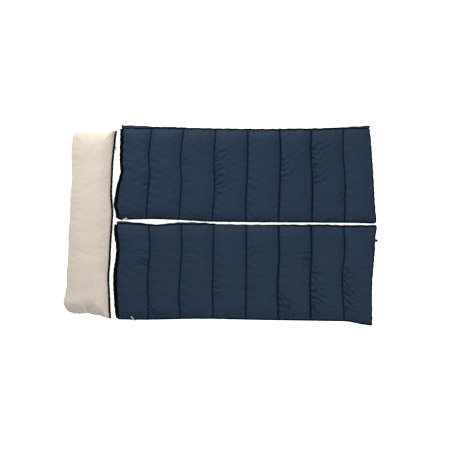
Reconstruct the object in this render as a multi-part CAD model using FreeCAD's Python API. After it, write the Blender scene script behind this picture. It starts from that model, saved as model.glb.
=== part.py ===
import FreeCAD, Part
import math
import os

# Two-person camp quilt set, laid out in its three parts: a left and a right quilt bag, side by side,
# and a full-width pillow at their heads. Each bag is one quilt folded lengthwise along its left side
# and closed by an L-shaped zip along its right side and round the foot.
# Millimetres. +X runs from head to foot, +Y to the sleeper's left, +Z up, and the floor is Z = 0.

V = FreeCAD.Vector

# Heights
PART_HEIGHT = 37.5      # height of the zip line, where a bag's top quilt meets its base quilt
LAYER_HEIGHT = 37.5     # one quilted layer at its crown
PARTING = 0.4           # half of the gap between the two linings
PILLOW_TOP = 52.5       # pillow crown above the zip line

# Fabric
WALL = 1.2              # shell fabric with its share of stitched-in wadding
LINING = 1.0
FABRIC_GAP = 0.15       # keeps the sewn layers of one quilt from sharing a face
THREAD_WIDTH = 1.6
THREAD_DEPTH = 0.6

# Profile of a quilted layer: height from the zip line and inset on every side
WALL_TOP = 7            # the zip tape covers the wall up to here
LAYER_PROFILE = [(PARTING, 0), (WALL_TOP, 0), (22, 22), (32, 50), (LAYER_HEIGHT, 95)]

# Profile of the pillow: height from the zip line and inset on every side
PILLOW_FACE_PROFILE = [(0, 0), (10, 3), (30, 26), (45, 62), (PILLOW_TOP, 118)]
PILLOW_BACK_PROFILE = [(-0.3, 0), (-10, 5), (-24, 28), (-33, 62), (-PART_HEIGHT, 100)]

# Outlines, counter-clockwise from the head corner on the zip side: x, y, corner radius
LEFT_OUTLINE = [
    (-773, 54, 30), (1166, 22, 30), (1108, 734, 40), (-735, 734, 30), (-738, 400, 0), (-778, 170, 0),
]
RIGHT_OUTLINE = [
    (-773, -695, 30), (937, -709, 0), (1127, -743, 35), (1130, -400, 0), (1166, 1, 25),
    (-776, 24, 30), (-784, -450, 0),
]
PILLOW_OUTLINE = [
    (-1119, -655, 30), (-990, -657, 0), (-838, -690, 25), (-798, 712, 25), (-1080, 708, 40),
    (-1112, 600, 0), (-1137, -70, 0), (-1170, -560, 60),
]

# Quilting lines: x of the first line at the fold side and at the zip side, then the pitch on each side
CHANNEL_LINES = 7
LEFT_QUILTING = (-509, -549, 236.7, 245.8)
RIGHT_QUILTING = (-534, -537, 241.5, 242.3)

# Zips
TAPE = 0.95             # side tape, standing upright on the wall of the quilt
COIL_OUT = 3.4          # outer face of the coil from the wall
COIL_HEIGHT = 2.8
HEAD_TAPE = 10          # flat tape along the head of a bag, half of the pillow's zip
HEAD_COIL = 2.2
PILLOW_TAPE = 16        # flat tape along the pillow
PILLOW_COIL = 2.5
CLEARANCE = 0.4

# Sliders and pullers
SLIDER_LENGTH = 16
PLATE = 1.6
PIN_RADIUS = 1.0
BARREL_RADIUS = 2.2
BARREL_BORE = 1.35
BARREL_HALF = 1.7
BRIDGE_HALF = 5.2       # the right puller's pin, from its middle to a post
GRIP_WIDTH = 9
GRIP_THICK = 3
LEFT_SLIDER_X = -738
RIGHT_SLIDER_X = -640
PILLOW_SLIDER_Y = 590

# Hanging loop of 19 mm webbing on the foot of the right bag
LOOP_Y = -106
LOOP_WIDTH = 19
LOOP_END_X = 1175
WEBBING = 1.3

FOLD_PIPING_RADIUS = 2.2
FOLD_SEAM = 3           # from the quilts' edge to the line they turn about

parts = {}


def corner(previous, here, following):
    """Start, middle and end of the arc that rounds one corner of an outline."""
    px, py, radius = here
    ax, ay = px - previous[0], py - previous[1]
    bx, by = following[0] - px, following[1] - py
    a, b = math.hypot(ax, ay), math.hypot(bx, by)
    ax, ay, bx, by = ax / a, ay / a, bx / b, by / b
    turn = math.acos(max(-1, min(1, ax * bx + ay * by)))
    back = radius * math.tan(turn / 2)
    mx, my = bx - ax, by - ay
    m = math.hypot(mx, my)
    reach = radius / math.cos(turn / 2) - radius
    start = (px - ax * back, py - ay * back)
    middle = (px + mx / m * reach, py + my / m * reach)
    end = (px + bx * back, py + by * back)
    return start, middle, end


def outline_wire(outline, z):
    """A closed wire at height z, with an arc at each corner that has a radius."""
    count = len(outline)
    edges, ends = [], []
    for i, here in enumerate(outline):
        if here[2] > 0:
            arc = corner(outline[i - 1], here, outline[(i + 1) % count])
            points = [V(x, y, z) for x, y in arc]
            ends.append((points[0], points[2], Part.Arc(*points).toShape()))
        else:
            point = V(here[0], here[1], z)
            ends.append((point, point, None))
    for i, (_, leave, arc) in enumerate(ends):
        if arc:
            edges.append(arc)
        edges.append(Part.makeLine(leave, ends[(i + 1) % count][0]))
    return Part.Wire(edges)


def inset(outline, amount):
    """The outline drawn in by the same amount on its four sides, or let out if it is negative."""
    xs = [p[0] for p in outline]
    ys = [p[1] for p in outline]
    x0, x1, y0, y1 = min(xs), max(xs), min(ys), max(ys)
    sx = (x1 - x0 - 2 * amount) / (x1 - x0)
    sy = (y1 - y0 - 2 * amount) / (y1 - y0)
    return [(x0 + amount + (x - x0) * sx, y0 + amount + (y - y0) * sy, r) for x, y, r in outline]


def loft(sections):
    """A closed solid through (outline, height) sections."""
    return Part.makeLoft([outline_wire(o, z) for o, z in sections], True, True)


def slab(outline, z0, z1):
    low, high = sorted((z0, z1))
    return Part.Face(outline_wire(outline, low)).extrude(V(0, 0, high - low))


def prism(points, z0, z1):
    low, high = sorted((z0, z1))
    wire = Part.makePolygon([V(x, y, low) for x, y in points + points[:1]])
    return Part.Face(wire).extrude(V(0, 0, high - low))


def box(x0, x1, y0, y1, z0, z1):
    return Part.makeBox(x1 - x0, y1 - y0, z1 - z0, V(x0, y0, z0))


def rod(start, end, radius):
    along = end - start
    return Part.makeCylinder(radius, along.Length, start, along)


def layer_sections(outline, side, shift, bottom=None):
    """Sections of a quilted layer, drawn in by shift. side is 1 for a top quilt and -1 for a base."""
    sections = []
    for i, (height, amount) in enumerate(LAYER_PROFILE):
        level = height - (shift if i > 1 else 0)
        if i == 0 and bottom is not None:
            level = bottom
        sections.append((inset(outline, amount + shift), PART_HEIGHT + side * level))
    return sections


def quilting_plates(outline, quilting):
    """Upright plates along the quilting lines, to cut the stitching out of the shell."""
    fold_x, zip_x, fold_pitch, zip_pitch = quilting
    ys = [p[1] for p in outline]
    low, high = min(ys) - 10, max(ys) + 10
    half = THREAD_WIDTH / 2
    plates = []
    for i in range(CHANNEL_LINES):
        a, b = zip_x + i * zip_pitch, fold_x + i * fold_pitch
        plates.append(prism([(a - half, low), (a + half, low), (b + half, high), (b - half, high)], -5, 85))
    return Part.makeCompound(plates)


def quilted_layer(name, outline, quilting, side):
    """Shell, filling, lining and stitching of one quilt, as separate solids."""
    outer = loft(layer_sections(outline, side, 0))
    hollow = loft(layer_sections(outline, side, WALL, bottom=-3))
    under_thread = loft(layer_sections(outline, side, THREAD_DEPTH, bottom=-2))
    plates = quilting_plates(outline, quilting)
    thread = outer.cut(under_thread).common(plates)
    above_wall = PART_HEIGHT + side * (WALL_TOP + 1)
    far = PART_HEIGHT + side * 60
    thread = thread.common(box(-1300, 1300, -900, 900, min(above_wall, far), max(above_wall, far)))
    parts[name + "_shell"] = outer.cut(hollow).cut(thread)
    parts[name + "_quilting_thread"] = thread
    lining_top = PARTING + LINING
    shift = WALL + FABRIC_GAP
    parts[name + "_filling"] = loft(layer_sections(outline, side, shift, bottom=lining_top + FABRIC_GAP))
    parts[name + "_lining"] = slab(
        inset(outline, shift), PART_HEIGHT + side * PARTING, PART_HEIGHT + side * lining_top
    )


def side_strip(outline, inner, outer, z0, z1, start_x):
    """A strip round the zip side and the foot of a bag, from start_x to just short of the fold."""
    ring = slab(inset(outline, -outer), z0, z1)
    ring = ring.cut(slab(inset(outline, -inner), z0 - 5, z1 + 5))
    fold_y = max(p[1] for p in outline)
    foot_x = max(p[0] for p in outline)
    zip_y = outline[0][1]
    for unused in (
        box(-1400, start_x, -900, 900, z0 - 5, z1 + 5),
        box(-1400, foot_x - 150, zip_y + 30, 900, z0 - 5, z1 + 5),
        box(-1400, foot_x + 50, fold_y - 40, fold_y + 50, z0 - 5, z1 + 5),
    ):
        ring = ring.cut(unused)
    return ring


def head_points(outline, out0, out1, margin):
    """A strip along the head edge of a bag, out0 to out1 in front of its shell."""
    head = [p for p in outline if p[0] < -700]
    low = min(head, key=lambda p: p[1])
    high = max(head, key=lambda p: p[1])
    between = sorted((p for p in head if p not in (low, high)), key=lambda p: p[1])
    line = [low] + between + [high]

    def along(a, b, distance):
        share = distance / math.hypot(b[0] - a[0], b[1] - a[1])
        return (a[0] + (b[0] - a[0]) * share, a[1] + (b[1] - a[1]) * share)

    ends = [along(line[0], line[1], margin)]
    ends += [(p[0], p[1]) for p in between]
    ends.append(along(line[-1], line[-2], margin))
    return [(x - out0, y) for x, y in ends] + [(x - out1, y) for x, y in reversed(ends)]


def bag(side_name, outline, quilting, slider_x):
    """One quilt bag: base quilt, top quilt, fold piping, side zip and the head tape for the pillow."""
    top, base = side_name + "_top", side_name + "_base"
    quilted_layer(top, outline, quilting, 1)
    quilted_layer(base, outline, quilting, -1)
    for layer, side, start_x in ((top, 1, slider_x - 30), (base, -1, slider_x + SLIDER_LENGTH)):
        z = [PART_HEIGHT + side * h for h in (PARTING + 0.1, WALL_TOP, PARTING, COIL_HEIGHT)]
        parts[layer + "_zip_tape"] = side_strip(outline, 0.05, TAPE, min(z[:2]), max(z[:2]), start_x)
        parts[layer + "_zip_coil"] = side_strip(outline, TAPE, COIL_OUT, min(z[2:]), max(z[2:]), start_x)
    stop_z = (PART_HEIGHT + PARTING, PART_HEIGHT + COIL_HEIGHT + 0.8)
    ends = []
    foot_x = max(p[0] for p in outline)
    around = side_strip(outline, COIL_OUT, COIL_OUT + 1, *stop_z, slider_x - 30)
    ends.append(around.common(box(slider_x - 30, slider_x - 24, -900, 900, 0, 80)))
    fold_y = max(p[1] for p in outline)
    ends.append(around.common(box(foot_x - 60, foot_x + 20, fold_y - 46, fold_y - 40, 0, 80)))
    parts[side_name + "_zip_stops"] = Part.makeCompound(ends)
    tape = head_points(outline, 0.1, HEAD_TAPE, 32)
    coil = head_points(outline, HEAD_TAPE, HEAD_TAPE + HEAD_COIL, 32)
    parts[base + "_head_zip_tape"] = prism(tape, PART_HEIGHT - 1.7, PART_HEIGHT - 0.9)
    parts[base + "_head_zip_coil"] = prism(coil, PART_HEIGHT - 2.5, PART_HEIGHT - 0.3)
    hem = head_points(outline, 0.1, 3, 32)
    parts[top + "_head_hem"] = prism(hem, PART_HEIGHT + 0.8, PART_HEIGHT + WALL_TOP)


def fold_line(outline):
    """The two ends of a bag's fold, at the height of the zip line."""
    high = sorted(outline, key=lambda p: p[1])[-2:]
    head, foot = sorted(high, key=lambda p: p[0])
    y_head, y_foot = head[1] + FOLD_SEAM, foot[1] + FOLD_SEAM
    return V(head[0], y_head, PART_HEIGHT), V(foot[0], y_foot, PART_HEIGHT)


def fold_piping(name, outline):
    """The piping cord inside the fold, which the two quilts turn about."""
    head, foot = fold_line(outline)
    along = (foot - head).normalize()
    parts[name] = rod(head + along * 35, foot - along * 45, FOLD_PIPING_RADIUS)


def placed(shape, origin, angle):
    """A shape from zip coordinates (along, inboard, up) to its place on the set."""
    shape = shape.copy()
    place = FreeCAD.Placement(origin, FreeCAD.Rotation(V(0, 0, 1), angle))
    shape.Placement = place.multiply(shape.Placement)
    return shape


def side_slider():
    """Slider of a side zip: an outer plate with two flanges that hold the coils."""
    half = SLIDER_LENGTH / 2
    plate_in = COIL_OUT + CLEARANCE
    plate_out = plate_in + PLATE
    flange_low = COIL_HEIGHT + CLEARANCE
    flange_high = flange_low + 1.2
    body = box(-half, half, -plate_out, -plate_in, -5, 5)
    for side in (1, -1):
        low, high = sorted((side * flange_low, side * flange_high))
        body = body.fuse(box(-half, half, -plate_in, -TAPE - CLEARANCE, low, high))
    return body


def pillow_slider():
    """Slider of the pillow's zip: wings above and below the coil, joined by a wall outside it."""
    half = SLIDER_LENGTH / 2
    coil_out = PILLOW_TAPE + PILLOW_COIL
    wall_in = coil_out + CLEARANCE
    wall_out = wall_in + PLATE
    wing = PILLOW_COIL / 2 + CLEARANCE + 0.2
    body = box(-half, half, -wall_out, -wall_in, -wing - PLATE, wing + PLATE)
    for side in (1, -1):
        low, high = sorted((side * wing, side * (wing + PLATE)))
        body = body.fuse(box(-half, half, -wall_in, -PILLOW_TAPE + 4, low, high))
    return body


def pin(start, end):
    """A pin between two points, with a flat head at its far end."""
    along = (end - start).normalize()
    return rod(start, end, PIN_RADIUS).fuse(rod(end - along * 0.8, end, 1.9))


def puller(along, axis, length, width=GRIP_WIDTH):
    """A moulded puller: a barrel round the pin at the origin, a neck and a grip lying along `along`."""
    barrel = rod(axis * -BARREL_HALF, axis * BARREL_HALF, BARREL_RADIUS)
    lift = axis.cross(along).normalize()

    def bar(start, end, bar_width, thick):
        base = along * start - axis * (bar_width / 2) - lift * (thick / 2)
        points = [base, base + axis * bar_width]
        points += [points[1] + lift * thick, base + lift * thick, base]
        return Part.Face(Part.makePolygon(points)).extrude(along * (end - start))

    neck = bar(1.6, 10, 2 * BARREL_HALF, 2)
    grip = bar(9, length, width, GRIP_THICK)
    edges = [e for e in grip.Edges if abs(e.tangentAt(e.FirstParameter).dot(lift)) > 0.99]
    grip = grip.makeFillet(width * 0.4, edges)
    body = barrel.fuse(neck).fuse(grip)
    return body.cut(rod(axis * -5, axis * 5, BARREL_BORE)).removeSplitter()


def direction(inboard_angle, elevation):
    """Unit vector in zip coordinates: angle from the zip line towards inboard, then upwards."""
    a, e = math.radians(inboard_angle), math.radians(elevation)
    return V(math.cos(a) * math.cos(e), math.sin(a) * math.cos(e), math.sin(e))


def zip_end(name, origin, angle, body, pivot, along, supports, length, width=GRIP_WIDTH):
    """Place a slider with its pin and its puller. Returns the pivot and the axis on the set."""
    flat = V(along.x, along.y, 0).normalize()
    axis = V(flat.y, -flat.x, 0)
    for support in supports(axis):
        body = body.fuse(support)
    parts[name + "_zip_slider"] = placed(body, origin, angle)
    grip = puller(along, axis, length, width)
    grip.translate(pivot)
    parts[name + "_zip_puller"] = placed(grip, origin, angle)
    turn = FreeCAD.Rotation(V(0, 0, 1), angle)
    return origin + turn.multVec(pivot), turn.multVec(axis)


def zip_frame(outline, at_x):
    """Point on a bag's straight zip line at one x, and the angle of the line."""
    a, b = outline[0], outline[1]
    slope = (b[1] - a[1]) / (b[0] - a[0])
    return V(at_x, a[1] + (at_x - a[0]) * slope, PART_HEIGHT), math.degrees(math.atan(slope))


def bridge(pivot):
    """Two posts and a bar on the plate, for a puller that lies across the zip."""
    def supports(axis):
        ends = [pivot - axis * BRIDGE_HALF, pivot + axis * BRIDGE_HALF]
        wall = -(COIL_OUT + CLEARANCE + PLATE / 2)
        posts = [rod(V(e.x, wall, e.z), e, PIN_RADIUS) for e in ends]
        return [rod(ends[0], ends[1], PIN_RADIUS)] + posts
    return supports


def cantilever(pivot, reach_in, reach_out):
    """One pin that stands out from the slider."""
    def supports(axis):
        outward = axis if axis.y < 0 else axis * -1
        return [pin(pivot - outward * reach_in, pivot + outward * reach_out)]
    return supports


def pillow():
    """Pillow face, back and filling, and the zip half along its bag side."""
    outline = PILLOW_OUTLINE

    def sections(profile, shift, first=None):
        made = []
        for i, (height, d) in enumerate(profile):
            side = 1 if height > 0 else -1
            level = height - (side * shift if i > 1 else 0)
            if i == 0 and first is not None:
                level = first
            made.append((inset(outline, d + shift), PART_HEIGHT + level))
        return made

    face = loft(sections(PILLOW_FACE_PROFILE, 0))
    parts["pillow_face"] = face.cut(loft(sections(PILLOW_FACE_PROFILE, WALL, first=-2)))
    back = loft(sections(PILLOW_BACK_PROFILE, 0))
    parts["pillow_back"] = back.cut(loft(sections(PILLOW_BACK_PROFILE, WALL, first=2)))
    shift = WALL + FABRIC_GAP
    lower = sections(PILLOW_BACK_PROFILE, shift)[1:]
    upper = sections(PILLOW_FACE_PROFILE, shift)[1:]
    parts["pillow_filling"] = loft(list(reversed(lower)) + upper)
    low, high = outline[2], outline[3]
    slope = (high[0] - low[0]) / (high[1] - low[1])

    def strip(out0, out1, z0, z1, start=low[1] + 28, end=high[1] - 28):
        def edge_x(y):
            return low[0] + (y - low[1]) * slope
        points = [(edge_x(start) + out0, start), (edge_x(start) + out1, start)]
        points += [(edge_x(end) + out1, end), (edge_x(end) + out0, end)]
        return prism(points, PART_HEIGHT + z0, PART_HEIGHT + z1)

    coil_out = PILLOW_TAPE + PILLOW_COIL
    half = PILLOW_COIL / 2
    parts["pillow_zip_tape"] = strip(0.1, PILLOW_TAPE, -0.4, 0.4)
    parts["pillow_zip_coil"] = strip(PILLOW_TAPE, coil_out, -half, half)
    stops = [strip(PILLOW_TAPE - 1, coil_out + 1, half, half + 1, y, y + 6) for y in (-655, 676)]
    parts["pillow_zip_stops"] = Part.makeCompound(stops)
    origin = V(low[0] + (PILLOW_SLIDER_Y - low[1]) * slope, PILLOW_SLIDER_Y, PART_HEIGHT)
    pivot = V(0, -(coil_out + CLEARANCE + PLATE + 3.0), 3.2)
    return zip_end(
        "pillow", origin, 90 - math.degrees(math.atan(slope)), pillow_slider(), pivot,
        direction(180, 0), cantilever(pivot, 3.6, 2.9), 30, 6,
    )


def hanging_loop(outer):
    """Folded webbing tab on the foot of the right base quilt, with an eye through it along Y."""
    high, low = PART_HEIGHT - 3.3, PART_HEIGHT - 13.3
    radius = (high - low) / 2
    middle = (high + low) / 2

    def stadium(r, start_x):
        straight = box(start_x, LOOP_END_X - radius, LOOP_Y - LOOP_WIDTH / 2, LOOP_Y + LOOP_WIDTH / 2,
                       middle - r, middle + r)
        end = Part.makeCylinder(r, LOOP_WIDTH, V(LOOP_END_X - radius, LOOP_Y - LOOP_WIDTH / 2, middle),
                                V(0, 1, 0))
        return straight.fuse(end)

    loop = stadium(radius, 1130).cut(stadium(radius - WEBBING, 1120))
    loop = loop.cut(outer).cut(parts["right_base_zip_tape"])
    return max(loop.Solids, key=lambda s: s.BoundBox.XMax)


bag("left", LEFT_OUTLINE, LEFT_QUILTING, LEFT_SLIDER_X)
bag("right", RIGHT_OUTLINE, RIGHT_QUILTING, RIGHT_SLIDER_X)
fold_piping("left_fold_piping", LEFT_OUTLINE)
fold_piping("right_fold_piping", RIGHT_OUTLINE)
parts["right_hanging_loop"] = hanging_loop(loft(layer_sections(RIGHT_OUTLINE, -1, 0)))

joints = {}
right_pivot = V(0, -8.5, 4.6)
origin, angle = zip_frame(RIGHT_OUTLINE, RIGHT_SLIDER_X)
joints["right_puller"] = zip_end(
    "right", origin, angle, side_slider(), right_pivot, direction(124.4, 33), bridge(right_pivot), 50
)
left_pivot = V(0, -8.6, 4.6)
origin, angle = zip_frame(LEFT_OUTLINE, LEFT_SLIDER_X)
joints["left_puller"] = zip_end(
    "left", origin, angle, side_slider(), left_pivot, direction(24, 23),
    cantilever(left_pivot, 4.4, 2.9), 50,
)
joints["pillow_puller"] = pillow()
for side_name, outline in (("left", LEFT_OUTLINE), ("right", RIGHT_OUTLINE)):
    head, foot = fold_line(outline)
    joints[side_name + "_top"] = (head, (foot - head).normalize())
    along = V(outline[1][0] - outline[0][0], outline[1][1] - outline[0][1], 0).normalize()
    joints[side_name + "_slider"] = (V(0, 0, 0), along)
low, high = PILLOW_OUTLINE[2], PILLOW_OUTLINE[3]
joints["pillow_slider"] = (V(0, 0, 0), V(low[0] - high[0], low[1] - high[1], 0).normalize())

# Centre the whole set on the origin, with the floor at Z = 0
whole = FreeCAD.BoundBox()
for shape in parts.values():
    whole.add(shape.BoundBox)
shift = V(-(whole.XMin + whole.XMax) / 2, -(whole.YMin + whole.YMax) / 2, -whole.ZMin)

os.makedirs("parts", exist_ok=True)
for name, shape in parts.items():
    shape.translate(shift)
    if not shape.isValid():
        print(name, "is not valid")
    shape.exportStep("parts/" + name + ".step")
    print(name, len(shape.Solids), "solids", round(shape.Volume / 1000, 2), "cm3")
for name, (point, axis) in joints.items():
    point = point + shift
    print("joint", name, [round(c, 3) for c in point], [round(c, 6) for c in axis])
print("shift", [round(c, 3) for c in shift])
print("size", round(whole.XLength, 1), round(whole.YLength, 1), round(whole.ZLength, 1))
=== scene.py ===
import math

import bpy
import numpy as np
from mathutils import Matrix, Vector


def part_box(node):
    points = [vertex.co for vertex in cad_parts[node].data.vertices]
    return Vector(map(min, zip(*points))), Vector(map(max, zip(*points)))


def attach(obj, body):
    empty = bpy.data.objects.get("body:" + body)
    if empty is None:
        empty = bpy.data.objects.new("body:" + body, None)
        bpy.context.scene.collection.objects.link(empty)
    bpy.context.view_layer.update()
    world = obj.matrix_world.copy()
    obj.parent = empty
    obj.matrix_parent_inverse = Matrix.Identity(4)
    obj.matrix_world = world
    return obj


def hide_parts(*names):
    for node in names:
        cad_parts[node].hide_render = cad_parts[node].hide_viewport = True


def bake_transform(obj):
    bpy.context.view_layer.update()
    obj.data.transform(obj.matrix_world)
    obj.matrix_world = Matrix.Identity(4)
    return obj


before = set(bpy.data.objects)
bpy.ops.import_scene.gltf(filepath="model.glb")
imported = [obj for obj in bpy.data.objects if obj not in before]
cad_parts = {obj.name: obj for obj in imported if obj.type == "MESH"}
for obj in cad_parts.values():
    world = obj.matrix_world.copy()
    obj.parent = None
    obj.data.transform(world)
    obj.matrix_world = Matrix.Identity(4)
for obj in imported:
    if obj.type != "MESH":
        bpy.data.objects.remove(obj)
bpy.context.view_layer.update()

# Two-person camp quilt set: two quilted bags and a zip-on pillow, lying flat and seen from above.
# Lengths in tables are millimetres; MM turns them into the scene's metres.
MM = 0.001
ZIP_Z = (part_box("left_top_lining")[0][2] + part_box("left_base_lining")[1][2]) / 2 / MM

# Quilting
CHANNELS = 8
PITCH = 242                 # width of a channel, from one stitched line to the next
PANEL_WIDTH = 715           # from zip to fold
COLUMNS = 16                # mesh columns in one channel, before refinement
ROWS = 72                   # mesh rows from zip to fold, before refinement
REFINED = 2                 # mesh lines for each one of before, after refinement
WALL_TOP = 7                # height of the upright zip wall over the zip line
SEAM_TOP = 17               # height of the stitched lines over the zip line
CROWN = 36                  # height of a channel's crown over the zip line
RISE_REACH = 95             # how far in from an edge the quilt reaches its full height
LINING_LIFT = 0.7           # gap between the lining and the zip line
FLOOR_GAP = 0.3             # how far the lowest cloth stays over the floor
ZIP_STOP = 43               # how far from the fold the side zip ends
COIL_PITCH = 2.4            # spacing of zip teeth
SEAM_WIDTHS = [6.2, 5.6, 5.8, 6.6, 8.2, 8.6, 6.4]   # how far the shadow of each stitched line reaches


# ---------------------------------------------------------------- shapes from numbers

def smooth(points):
    """A smooth function through (place, value) points, level beyond its ends."""
    xs = np.array([p[0] for p in points], float)
    ys = np.array([p[1] for p in points], float)
    slopes = np.gradient(ys, xs)

    def value(at):
        at = np.clip(np.asarray(at, float), xs[0], xs[-1])
        i = np.clip(np.searchsorted(xs, at, side="right") - 1, 0, len(xs) - 2)
        width = xs[i + 1] - xs[i]
        t = (at - xs[i]) / width
        near = (1 + 2 * t) * (1 - t) ** 2 * ys[i] + t * (1 - t) ** 2 * width * slopes[i]
        far = t * t * (3 - 2 * t) * ys[i + 1] - t * t * (1 - t) * width * slopes[i + 1]
        return near + far
    return value


def swell(seed, length, count=16):
    """Smooth random relief, about -1 to 1, whose bumps are about `length` across."""
    draw = np.random.default_rng(seed)
    turns = draw.uniform(0, 2 * math.pi, count)
    phases = draw.uniform(0, 2 * math.pi, count)
    waves = draw.uniform(0.6, 1.5, count) * 2 * math.pi / length

    def value(x, y):
        total = 0
        for turn, phase, wave in zip(turns, phases, waves):
            total = total + np.sin(wave * (x * math.cos(turn) + y * math.sin(turn)) + phase)
        return total * 0.8 / math.sqrt(count / 2)
    return value


def rise(distance, reach):
    """0 at an edge, 1 from `reach` inwards, rounded over on top."""
    left = 1 - np.clip(np.asarray(distance, float) / reach, 0, 1)
    return 1 - left * left


def refine(grid):
    """The grid with a smooth new line between each two lines, both ways."""
    for axis in (0, 1):
        a = np.moveaxis(grid, axis, 0)
        padded = np.concatenate([2 * a[:1] - a[1:2], a, 2 * a[-1:] - a[-2:-1]])
        middle = (9 * (padded[1:-2] + padded[2:-1]) - padded[:-3] - padded[3:]) / 16
        out = np.empty((2 * len(a) - 1,) + a.shape[1:])
        out[0::2] = a
        out[1::2] = middle
        grid = np.moveaxis(out, 0, axis)
    return grid


# ---------------------------------------------------------------- plans of the soft panels

# Ripples of an edge seen from above: height and length of the waves
RIPPLES = {"near": (0.35, 90), "far": (1.2, 78), "start": (1.8, 44), "end": (1.3, 52)}


class Plan:
    """A panel seen from above. Its corners go round from the zip side's start; v runs from the zip
    side to the far side and u along both. Each edge has a bow, outwards, along its share."""

    def __init__(self, corners, near, far, start, end, radii, near_lines, far_lines, line_bows):
        self.corners = [np.array(c, float) for c in corners]
        self.bows = {"near": smooth(near), "far": smooth(far), "start": smooth(start), "end": smooth(end)}
        self.radii = radii
        count = len(near_lines) + 1
        self.u_max = count
        self.near_shares = lambda u: np.interp(u, range(count + 1), [0, *near_lines, 1])
        self.far_shares = lambda u: np.interp(u, range(count + 1), [0, *far_lines, 1])
        self.line_bows = [smooth(b) for b in line_bows]

    def edge(self, name, share):
        """Plan positions at shares of one edge's length, from the start to the end or near to far."""
        a, b, c, d = self.corners
        p, q = {"near": (a, b), "far": (d, c), "start": (a, d), "end": (b, c)}[name]
        along = (q - p) / np.linalg.norm(q - p)
        side = {"near": -1, "far": 1, "start": 1, "end": -1}[name]
        outward = np.array([-along[1], along[0]]) * side
        share = np.asarray(share, float)[..., None]
        tall, length = RIPPLES[name]
        turn = share * np.linalg.norm(q - p) / length * 2 * math.pi
        fade = np.minimum(1, 25 * share * (1 - share))
        ripple = tall * np.sin(turn + 1.7 * np.sin(turn * 0.19 + 1)) * fade
        return p + (q - p) * share + outward * (self.bows[name](share) + ripple)

    def points(self, u, v):
        """Plan positions of the grid of u and v values."""
        a, b, c, d = self.corners
        uu, vv = u[:, None, None], v[None, :, None]
        near = self.edge("near", self.near_shares(u))[:, None]
        far = self.edge("far", self.far_shares(u))[:, None]
        start_bow = self.edge("start", v)[None] - ((1 - vv) * a + vv * d)
        end_bow = self.edge("end", v)[None] - ((1 - vv) * b + vv * c)
        p = (1 - vv) * near + vv * far
        p = p + start_bow * np.clip(1 - uu, 0, 1) ** 2 + end_bow * np.clip(1 - (self.u_max - uu), 0, 1) ** 2
        for k, bow in enumerate(self.line_bows):
            weight = np.clip(1 - np.abs(u - (k + 1)), 0, 1)
            weight = weight * weight * (3 - 2 * weight)
            p[..., 0] += weight[:, None] * bow(v)[None]
        return self.round_corners(p)

    def round_corners(self, p):
        """Points near a corner drawn in, so that it is rounded to its radius."""
        for i, radius in enumerate(self.radii):
            here = self.corners[i]
            one = self.corners[i - 1] - here
            two = self.corners[(i + 1) % 4] - here
            basis = np.stack([one / np.linalg.norm(one), two / np.linalg.norm(two)], axis=1)
            local = (p - here) @ np.linalg.inv(basis).T
            inside = (local < radius).all(-1)
            s = np.clip(1 - local / radius, -1, 1.2)
            turned = s * np.sqrt(1 - np.clip(s[..., ::-1], -1, 1) ** 2 / 2)
            moved = here + (radius * (1 - turned)) @ basis.T
            p = np.where(inside[..., None], moved, p)
        return p


def spread(cells, density):
    """0 to 1 in `cells` steps, closer together at both ends."""
    t = np.linspace(0, 1, cells + 1)
    return t - density * np.sin(2 * math.pi * t) / (2 * math.pi)


def quilting(first, pitch):
    """Shares of an edge's length at which the quilting lines meet it."""
    return [first + pitch * i for i in range(CHANNELS - 1)]


def box_corner(node, x_side, y_side, dx, dy):
    """A corner of a CAD node's box in plan, in millimetres, moved by dx and dy."""
    low_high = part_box(node)
    return (low_high[x_side][0] / MM + dx, low_high[y_side][1] / MM + dy)


LEFT = Plan(
    corners=[
        box_corner("left_top_shell", 0, 0, 2.5, 31.3), box_corner("left_top_shell", 1, 0, 1, 0),
        box_corner("left_top_shell", 1, 1, -50, 0), box_corner("left_top_shell", 0, 1, 40, 0),
    ],
    near=[
        (0, 0), (0.05, 0), (0.13, -5), (0.25, -2), (0.36, 6), (0.46, 6), (0.6, 4), (0.8, 0),
        (0.96, -1), (1, 0),
    ],
    far=[(0, 0), (0.3, -5), (0.4, -8), (0.5, -11), (0.59, -13), (0.7, -11), (0.79, -10), (0.88, -3), (1, 0)],
    start=[
        (0, 0), (0.06, -4), (0.125, 13), (0.256, 11), (0.388, -1), (0.454, -12), (0.52, -20),
        (0.6, -12), (0.72, -7), (0.85, -5), (1, 0),
    ],
    end=[(0, 0), (0.2, -3), (0.5, 1), (0.8, 1), (1, 0)],
    radii=[20, 22, 14, 5],
    near_lines=quilting(0.1155, 0.1268),
    far_lines=quilting(0.1226, 0.1285),
    line_bows=[
        [(0, 0), (0.28, -2), (0.5, 4), (0.64, -9), (1, 0)],
        [(0, -6), (0.2, 0), (0.43, 1), (0.6, -13), (1, 0)],
        [(0, -4), (0.39, 7), (0.62, -3), (1, 0)],
        [(0, 2), (0.27, 0), (0.57, 6), (1, 0)],
        [(0, 0), (0.3, 5), (0.5, 8), (0.74, 10), (1, 0)],
        [(0, 3), (0.5, 5), (0.78, -6), (1, 0)],
        [(0, 0), (0.5, 7), (0.74, -5), (1, 0)],
    ],
)
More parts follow.
